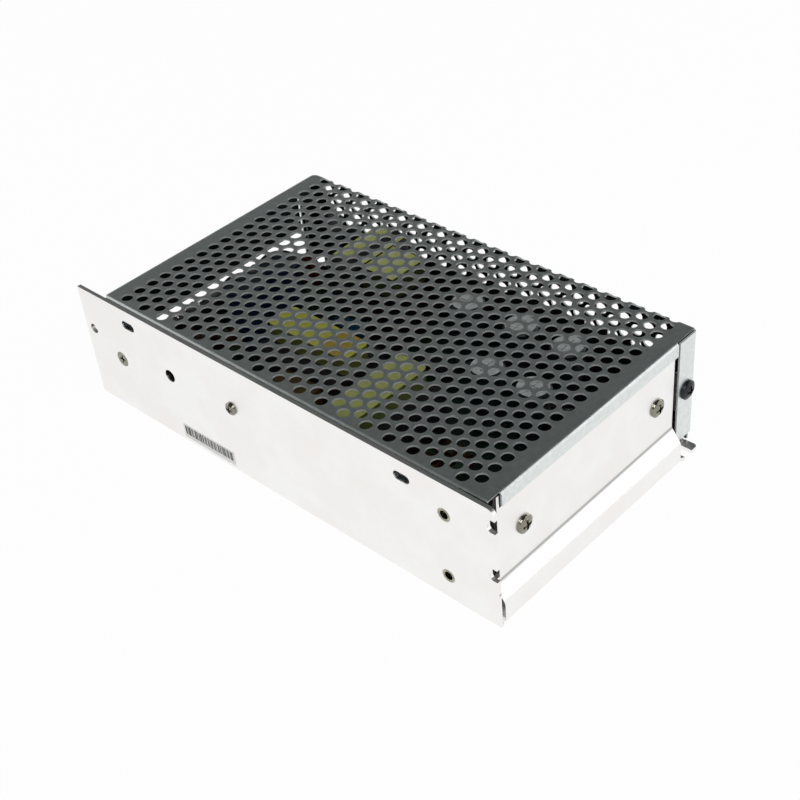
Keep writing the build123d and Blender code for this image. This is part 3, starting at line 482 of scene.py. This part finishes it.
# %% Plastics and ceramics
plain = {}
for name, first, second, roughness, size in (
        ("polyester_insulating_film", "#B9B8AB", "#CFCEC2", 0.35, 12.0),
        ("black_moulded_nylon", "#0E0F10", "#1B1C1E", 0.42, 0.4),
        ("sintered_ferrite", "#161719", "#25262A", 0.55, 0.5),
        ("epoxy_coated_core", "#1C2E22", "#2B4433", 0.40, 1.0),
        ("moulded_phenolic", "#121214", "#1F1F22", 0.45, 0.7),
        ("brown_moulded_box", "#4A3A1C", "#5E4A24", 0.35, 3.0),
        ("blue_dipped_epoxy", "#12303F", "#1C4459", 0.25, 3.0),
        ("dark_red_dipped_epoxy", "#340F0D", "#481712", 0.25, 3.0),
        ("black_transfer_moulded_epoxy", "#111213", "#1C1D1F", 0.50, 0.6),
        ("grey_silicone_pad", "#70716F", "#848582", 0.60, 1.5),
        ("blue_moulded_trimmer", "#1F4DA0", "#2C5DB4", 0.30, 1.5),
        ("cream_moulded_rotor", "#DCD7C1", "#E8E3D0", 0.32, 1.5),
        ("fired_fuse_ceramic", "#B5B2A8", "#C8C5BC", 0.40, 2.0),
        ("green_lamp_epoxy", "#2E9E4A", "#3DB25A", 0.12, 2.0)):
    plain[name] = mottled(name, first, second, roughness, size)
print(len(plain), "plastics and ceramics")

# %% [markdown]
# ## Dressing the CAD parts
# Every part now gets its finish. A short table pairs the start of a part's name with the
# finish. The first line that fits counts, so cover_screws stands before cover and
# fuse_clips before fuse, and the loop stops if any part is left without a finish.

# %% Dress
nickel, brass = metals["bright_nickel_plate"], metals["nickel_plated_brass"]
copper = metals["enamelled_copper_wire"]
black_epoxy = plain["black_transfer_moulded_epoxy"]
ferrite, phenolic = plain["sintered_ferrite"], plain["moulded_phenolic"]
wearing = [
    ("chassis", aluminium), ("cover_screws", metals["black_oxide_steel"]), ("cover", galvanised),
    ("end_", nickel), ("countersunk", nickel), ("clamp_screw", nickel), ("board_screws", nickel),
    ("terminal_screws", nickel), ("rectifier_screws", nickel), ("device_nut", nickel),
    ("terminal_plates", nickel), ("transistor_clamp", nickel),
    ("wall_inserts", brass), ("standoffs", brass), ("fuse_clips", brass),
    ("insulating_sheet", plain["polyester_insulating_film"]), ("circuit_board", laminate),
    ("terminal_housing", plain["black_moulded_nylon"]),
    ("trimmer_body", plain["blue_moulded_trimmer"]),
    ("trimmer_rotor", plain["cream_moulded_rotor"]),
    ("indicator_lamp", plain["green_lamp_epoxy"]),
    ("transformer_core", lapped_core), ("transformer_coil", tapes["taped_coil_with_painted_low_shade"]),
    ("transformer_base", phenolic), ("choke_a_core", ferrite), ("choke_b_core", ferrite),
    ("choke_a_coil", tapes["yellow_polyester_tape"]),
    ("choke_b_coil", tapes["green_polyester_tape"]), ("choke_a_carrier", phenolic),
    ("choke_b_carrier", phenolic), ("input_ring_core", plain["epoxy_coated_core"]),
    ("output_ring_core", plain["epoxy_coated_core"]),
    ("input_ring_winding", copper), ("output_ring_winding", copper),
    ("output_capacitor", sleeves["black_sleeved_can"]),
    ("input_capacitor", sleeves["blue_sleeved_can"]),
    ("film_capacitor", plain["brown_moulded_box"]),
    ("blue_capacitor", plain["blue_dipped_epoxy"]),
    ("varistor", plain["dark_red_dipped_epoxy"]), ("fuse", plain["fired_fuse_ceramic"]),
    ("control_chip", black_epoxy), ("input_transistor", black_epoxy),
    ("switch_transistor", black_epoxy), ("output_rectifier", black_epoxy),
    ("thermal_pad", plain["grey_silicone_pad"]), ("heatsink", metals["extruded_aluminium"]),
    ("current_shunt", metals["manganin_strap"]),
]
for name, part in nodes.items():
    chosen = next(material for start, material in wearing if name.startswith(start))
    part.data.materials.clear()
    part.data.materials.append(chosen)
print(len(nodes), "parts dressed")

# %% [markdown]
# ## Round parts
# The real pan heads are lower and a little narrower than the CAD ones, so the points of a
# head are drawn down towards the face that it sits on and in towards its own axis. Points
# within the reach of the cross recess keep their distance from the axis, so the recess
# keeps its width. For each screw node, the table holds the axis its heads point along,
# 0 for x and 1 for y, which way they point, and how high the CAD head is, in millimetres.

# %% Lower pan heads
touching = 1e-6
width_share, rise_share = 0.86, 0.62
recess_reach = 2.1
pan_heads = {"end_screws": (0, 1, 2.6), "clamp_screw": (1, -1, 2.2)}


def lower_heads(shape, name):
    """Shrinks the heads of a copy of a screw node, each about its own axis and seat."""
    along, side, rise = pan_heads[name]
    across = 1 - along
    low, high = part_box(name)
    outer = high if side > 0 else low
    seat = outer[along] - side * rise * mm
    radius = (high.z - low.z) / 2
    middle = (low.z + high.z) / 2
    centres = (low[across] + radius, high[across] - radius)
    for vert in shape.verts:
        above = (vert.co[along] - seat) * side
        if above < -touching:
            continue
        vert.co[along] = seat + side * above * rise_share
        centre = min(centres, key=lambda place: abs(vert.co[across] - place))
        if math.hypot(vert.co[across] - centre, vert.co.z - middle) > recess_reach * mm:
            vert.co[across] = centre + (vert.co[across] - centre) * width_share
            vert.co.z = middle + (vert.co.z - middle) * width_share


# %% [markdown]
# Screws, inserts, the trimmer's rotor and the lamp are turned or moulded round. Their CAD
# meshes are flat facets, so each gets a copy with its points merged and its shading
# smooth, except over edges sharper than a set angle, which stay crisp.

# %% Smooth copies
sharpest = math.radians(62)
round_parts = [
    ("end_screws", "plated_steel", "converter"), ("clamp_screw", "plated_steel", "converter"),
    ("countersunk_screw", "plated_steel", "converter"),
    ("cover_screws", "black_steel", "converter"), ("wall_inserts", "plated_brass", "converter"),
    ("trimmer_rotor", "rotor_plastic", "trimmer"), ("indicator_lamp", "lamp_epoxy", "converter")]
for name, plating, body in round_parts:
    shape = bmesh.new()
    shape.from_mesh(nodes[name].data)
    bmesh.ops.remove_doubles(shape, verts=shape.verts, dist=touching)
    if name in pan_heads:
        lower_heads(shape, name)
    for face in shape.faces:
        face.smooth = True
    for edge in shape.edges:
        edge.smooth = edge.is_manifold and edge.calc_face_angle(math.pi) < sharpest
    round_mesh = bpy.data.meshes.new("round_" + name)
    shape.to_mesh(round_mesh)
    shape.free()
    round_mesh.materials.append(nodes[name].data.materials[0])
    piece = bpy.data.objects.new("round_" + name, round_mesh)
    scene.collection.objects.link(piece)
    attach(piece, body)
    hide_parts(name)
print(len(round_parts), "round parts smoothed")

# %% [markdown]
# ## The punched cover
# The real cover starts as a flat blank: cut to shape, punched with staggered holes, then
# folded on every side. Modelling it the same way keeps the holes in step across a fold.
# A place on the blank is given by x along the case and v across it, in millimetres, and
# on the flat top both are the same as in the case. The four folds start at the lines
# below, and each flange has a depth past its bend.

# %% Sizes of the cover
steel = 0.7
case_top = 50.0
left_fold, right_fold = -85.1, 94.7
near_fold, far_fold = -51.8, 54.2
fold_radius, far_radius = 1.4, 0.8
arc, far_arc = fold_radius * math.pi / 2, far_radius * math.pi / 2
near_depth, strip_depth, front_depth, wall_depth = 8.4, 4.1, 19.9, 47.4
return_depth = 8.4
right_return_foot, left_return_foot = 42.9, 38.2
print("bends take", round(arc, 2), "and", round(far_arc, 2), "mm of the blank")

# %% [markdown]
# The outline leaves the corners free, so that no two flanges meet when they are folded.
# The far left corner of the top is rounded, and its points are given from the two folds
# that would meet there.

# %% Outline of the blank
near_flange_end = 83.8
corner_right, corner_near = 95.3, -53.0
strip_near, strip_far = -47.3, 44.2
relief_start, relief_side, relief_depth = 0.6, 0.3, 0.2
rounded_corner = [(3.1, 1.1), (1.4, 0.1), (-0.1, -1.3), (-1.0, -3.3)]
front_root = 1.1


def blank_outline():
    """Corners of the flat blank, counter-clockwise, in millimetres."""
    near_edge = near_fold - arc - near_depth
    strip_edge = right_fold + arc + strip_depth
    front_edge = left_fold - arc - front_depth
    wall_top = far_fold + far_arc
    wall_foot = wall_top + wall_depth
    flap_right = right_fold + arc + return_depth
    flap_left = left_fold - arc - return_depth
    foot_right = wall_top + right_return_foot
    foot_left = wall_top + left_return_foot
    return [
        (left_fold, near_edge), (near_flange_end, near_edge), (near_flange_end, corner_near),
        (corner_right, corner_near), (corner_right, strip_near), (strip_edge, strip_near),
        (strip_edge, strip_far), (corner_right, strip_far), (corner_right, far_fold),
        (right_fold, far_fold + relief_start), (right_fold, wall_top - relief_depth),
        (right_fold + relief_side, wall_top), (flap_right, wall_top), (flap_right, foot_right),
        (right_fold, foot_right), (right_fold, wall_foot), (left_fold, wall_foot),
        (left_fold, foot_left), (flap_left, foot_left), (flap_left, wall_top),
        (left_fold - relief_side, wall_top), (left_fold, wall_top - relief_depth),
        *[(left_fold + x, far_fold + v) for x, v in rounded_corner],
        (left_fold - front_root, strip_far), (front_edge, strip_far), (front_edge, near_fold),
        (left_fold, near_fold)]


outline = blank_outline()
spans = [round(max(values) - min(values), 1) for values in zip(*outline)]
print("blank", spans, "mm,", len(outline), "corners")

# %% [markdown]
# The holes are a stock perforation: 4.5 mm round, every 6 mm in rows 5 mm apart, each row
# half a step from the next. The first row is the one at the end wall, and the first hole
# is the one nearest to the plain wall. Down the far wall they stop at lowest_hole. The
# ones that fall on the far bend lie a little nearer, and give it its scalloped edge.

# %% Holes
hole_radius = 2.25
row_step, hole_step = 5.0, 6.0
first_row, first_hole = 87.3, -45.8
row_count = 34
lowest_hole = 72.0
bend_row_reach, bend_row_shift = 3.0, 0.8


def punched_centres():
    """Centres of all the holes, on the top and down the far side."""
    centres = []
    for row in range(row_count):
        x = first_row - row * row_step
        place = first_hole if row % 2 == 0 else first_hole - hole_step / 2
        while place < lowest_hole:
            on_bend = far_fold < place < far_fold + bend_row_reach
            centres.append((x, place - bend_row_shift if on_bend else place))
            place += hole_step
    return centres


centres = punched_centres()
print(len(centres), "holes")

# %% [markdown]
# A point of the blank past a fold line first goes round the bend and then straight down.
# Two functions work that out. The ends of the far wall turn towards the plain wall, and
# every other flange turns down. A point that a cut has left a hair before the end of the
# far bend counts as past it.

# %% Folding a point of the blank
hair = 0.01


def rolled(past, radius):
    """Distance along and down from a fold line, for a length past it."""
    bend = radius * math.pi / 2
    if past <= bend:
        turn = past / radius
        return radius * math.sin(turn), radius * (1 - math.cos(turn))
    return radius, radius + past - bend


def folded_point(x, v):
    """Place on the folded cover of a point of the blank."""
    past_x = max(x - right_fold, left_fold - x, 0.0)
    out_x, in_x = rolled(past_x, fold_radius)
    flat_x = x
    if past_x > 0:
        flat_x = right_fold + out_x if x > 0 else left_fold - out_x
    if v > far_fold:
        out, down = rolled(v - far_fold, far_radius)
        if v > far_fold + far_arc - hair:
            return flat_x, far_fold + out - in_x, case_top - down
        return flat_x, far_fold + out, case_top - down - in_x
    if v < near_fold:
        out, down = rolled(near_fold - v, fold_radius)
        return flat_x, near_fold - out, case_top - down - in_x
    return flat_x, v, case_top - in_x


print("lowest edge", round(folded_point(0, far_fold + far_arc + wall_depth)[2], 2), "mm up")

# %% [markdown]
# The blank is one outline and many circles, filled in a single step.

# %% Cut and punch the blank
hole_sides, screw_hole_sides = 18, 16
screw_hole_radius, screw_hole_in, screw_hole_down = 2.0, 3.4, 22.0
blank = bmesh.new()
corners = [blank.verts.new((x, v, 0)) for x, v in outline]
for start, end in zip(corners, corners[1:] + corners[:1]):
    blank.edges.new((start, end))
screw_height = far_fold + far_arc + screw_hole_down
screw_holes = [(right_fold + arc + screw_hole_in, screw_height),
               (left_fold - arc - screw_hole_in, screw_height)]
for places, sides, radius in ((centres, hole_sides, hole_radius),
                              (screw_holes, screw_hole_sides, screw_hole_radius)):
    for x, v in places:
        bmesh.ops.create_circle(blank, segments=sides, radius=radius,
                                matrix=Matrix.Translation((x, v, 0)))
bmesh.ops.triangle_fill(blank, use_beauty=True, use_dissolve=False, edges=blank.edges[:],
                        normal=(0, 0, 1))
print(len(blank.faces), "faces in the punched blank")

# %% [markdown]
# A flat face can't curve, so the blank is cut across at even steps of each bend. A cut
# that passes a point within the snap distance uses that point and adds none.

# %% Cuts across the bends
bend_steps = 5
snap = 1e-5
for k in range(bend_steps + 1):
    along, far_along = arc * k / bend_steps, far_arc * k / bend_steps
    for place, normal in (((left_fold - along, 0, 0), (1, 0, 0)),
                          ((right_fold + along, 0, 0), (1, 0, 0)),
                          ((0, near_fold - along, 0), (0, 1, 0)),
                          ((0, far_fold + far_along, 0), (0, 1, 0))):
        bmesh.ops.bisect_plane(blank, geom=blank.verts[:] + blank.edges[:] + blank.faces[:],
                               dist=snap, plane_co=place, plane_no=normal)
print(len(blank.faces), "faces after the cuts")

# %% [markdown]
# Every point is folded into place, and a Solidify modifier gives the sheet its
# thickness. The modifier also hands the second finish, galvanised steel in painted
# shade, to the inner face and the third to all the sheared edges.

# %% Fold and thicken
for vert in blank.verts:
    x, y, z = folded_point(vert.co.x, vert.co.y)
    vert.co = Vector((x, y, z)) * mm
bmesh.ops.triangulate(blank, faces=blank.faces[:])
cover_mesh = bpy.data.meshes.new("punched_cover")
blank.to_mesh(cover_mesh)
blank.free()
punched_cover = bpy.data.objects.new("punched_cover", cover_mesh)
scene.collection.objects.link(punched_cover)
thickness = punched_cover.modifiers.new("sheet", "SOLIDIFY")
thickness.thickness = steel * mm
thickness.offset = -1.0
thickness.use_even_offset = False
# The inner face takes the second finish, which is painted shade.
thickness.material_offset = 1
thickness.material_offset_rim = 2
for material in (galvanised, *cover_faces):
    cover_mesh.materials.append(material)
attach(punched_cover, "converter")
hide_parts("cover")
print(len(cover_mesh.polygons), "faces in the folded cover")

# %% [markdown]
# ## The stock label
# Low on the plain wall sits a narrow strip of white paper printed with dark bars. It is
# a thin box here.

# %% Label
label_from, label_to = (-50.0, -55.09, 2.9), (-22.3, -55.01, 9.0)
strip = bmesh.new()
bmesh.ops.create_cube(strip, size=1.0)
size = [(b - a) * mm for a, b in zip(label_from, label_to)]
middle = [(a + b) / 2 * mm for a, b in zip(label_from, label_to)]
bmesh.ops.scale(strip, vec=size, verts=strip.verts)
bmesh.ops.translate(strip, vec=middle, verts=strip.verts)
label_mesh = bpy.data.meshes.new("paper_label")
strip.to_mesh(label_mesh)
strip.free()
label = bpy.data.objects.new("paper_label", label_mesh)
scene.collection.objects.link(label)
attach(label, "converter")
print("label", [round(v / mm, 1) for v in size], "mm")

# %% [markdown]
# The bars come from a one dimensional noise along the strip, cut to ink or bare paper, so
# they are uneven and stand for nothing. A paper margin is left bare round them.

# %% Thermal print
bar_pitch, ink_above = 0.55, 0.47
bars_left, bars_right = -49.2, -23.2
bars_foot, bars_top = 4.6, 8.5
paper, tree, place = begin("thermal_printed_paper")
where = add(tree, "SeparateXYZ", {"Vector": place})
bar = add(tree, "Math", {0: where.outputs["X"], 1: 1 / (bar_pitch * mm)}, operation="MULTIPLY")
uneven = add(tree, "TexNoise", {"W": bar.outputs[0], "Scale": 1.0, "Detail": 1.0},
             noise_dimensions="1D")
ink = where_all(tree, ((uneven.outputs[0], "GREATER_THAN", ink_above),
                       (where.outputs["X"], "GREATER_THAN", bars_left * mm),
                       (where.outputs["X"], "LESS_THAN", bars_right * mm),
                       (where.outputs["Z"], "GREATER_THAN", bars_foot * mm),
                       (where.outputs["Z"], "LESS_THAN", bars_top * mm)))
colour = add(tree, "MixRGB", {"Fac": ink, "Color1": linear("#EDECE8"),
                              "Color2": linear("#3A3A39")})
shader = add(tree, "BsdfPrincipled", {"Base Color": colour.outputs[0], "Roughness": 0.55})
add(tree, "OutputMaterial", {"Surface": shader.outputs[0]})
label_mesh.materials.append(paper)
print("finished", paper.name)
